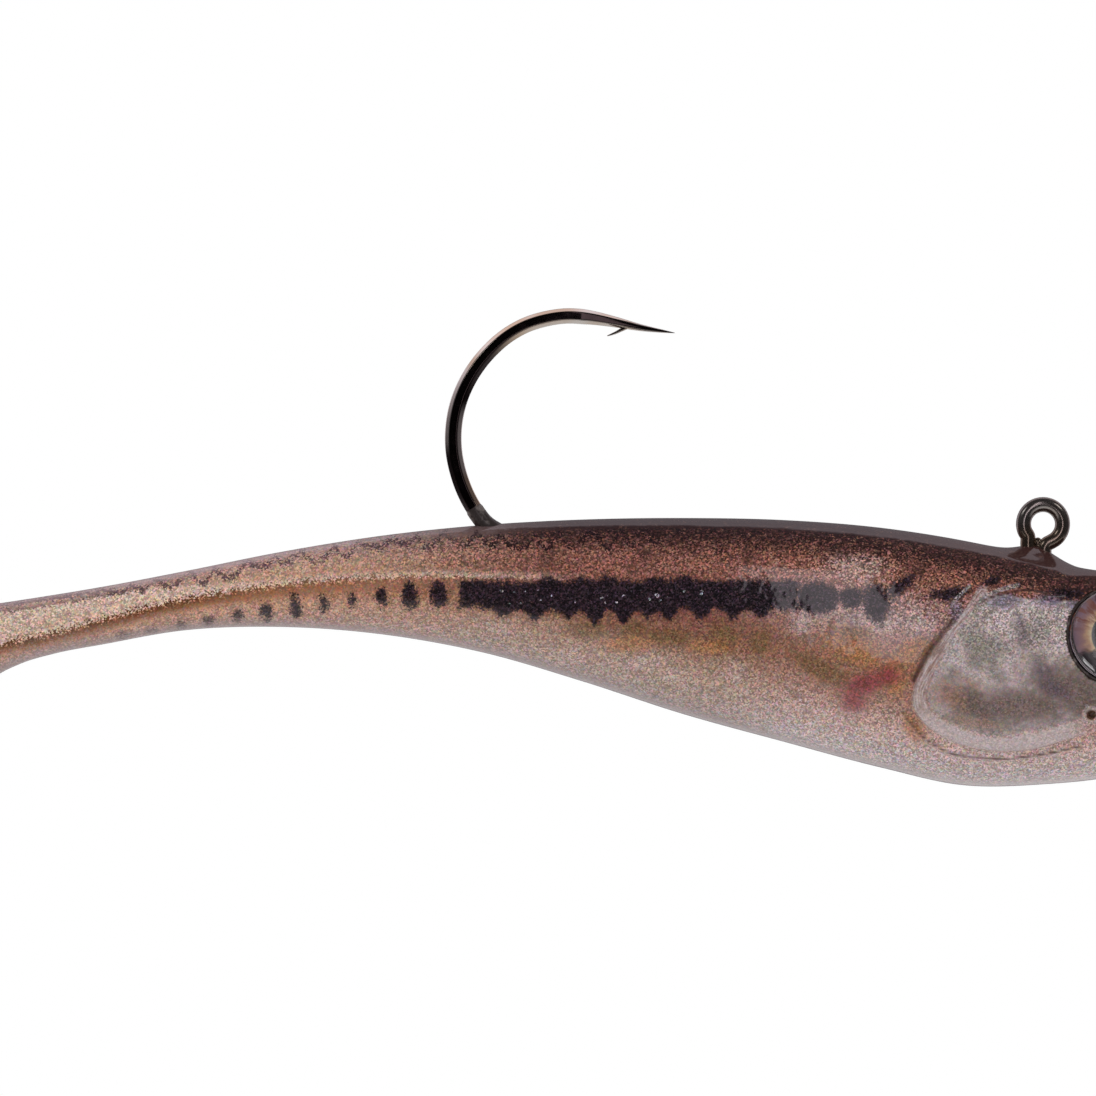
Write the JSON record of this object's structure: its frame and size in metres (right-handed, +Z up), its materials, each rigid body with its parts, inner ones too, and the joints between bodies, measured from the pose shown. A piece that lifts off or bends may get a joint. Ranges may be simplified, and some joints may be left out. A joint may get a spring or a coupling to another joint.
{
  "type": "swimbait",
  "caption": "Soft paddle-tail swimbait with an internal jig weight, an upright hook, a line tie ring on its back and domed fish eyes.",
  "frame": {"origin": "centre of the line tie ring, on the bait's plane of symmetry", "axes": "+X towards the snout, +Y to the bait's left side, +Z up from belly to back"},
  "size_m": [0.1383, 0.016, 0.0477],
  "materials": {
    "clear_skin": "gloss",
    "print_film": "gloss",
    "soft_core": "satin",
    "lead": "matte",
    "black_nickel": "polished",
    "eye_print": "gloss",
    "eye_dome": "gloss"
  },
  "bodies": {
    "trunk": {"clear_skin": "clear_skin", "print_film_left": "print_film", "print_film_right": "print_film", "body_core": "soft_core", "lead_weight": "lead", "jig_hook": "black_nickel", "eye_disc_left": "eye_print", "eye_disc_right": "eye_print", "eye_dome_left": "eye_dome", "eye_dome_right": "eye_dome"},
    "tail_1": {"tail_segment_1": "clear_skin"},
    "tail_2": {"tail_segment_2": "clear_skin"},
    "tail_3": {"tail_segment_3": "clear_skin"},
    "paddle": {"tail_paddle": "clear_skin"}
  },
  "joints": [
    {"name": "tail_1_bend", "type": "hinge", "parent": "trunk", "child": "tail_1", "pos_m": [-0.065, 0, -0.006], "axis": [0, 0, 1], "range_deg": [-25, 25], "stiffness_Nm_per_rad": 0.0016},
    {"name": "tail_2_bend", "type": "hinge", "parent": "tail_1", "child": "tail_2", "pos_m": [-0.076, 0, -0.0065], "axis": [0, 0, 1], "range_deg": [-25, 25], "stiffness_Nm_per_rad": 0.0012},
    {"name": "tail_3_bend", "type": "hinge", "parent": "tail_2", "child": "tail_3", "pos_m": [-0.087, 0, -0.0076], "axis": [0, 0, 1], "range_deg": [-25, 25], "stiffness_Nm_per_rad": 0.0009},
    {"name": "paddle_bend", "type": "hinge", "parent": "tail_3", "child": "paddle", "pos_m": [-0.098, 0, -0.0092], "axis": [0, 0, 1], "range_deg": [-25, 25], "stiffness_Nm_per_rad": 0.0007}
  ]
}
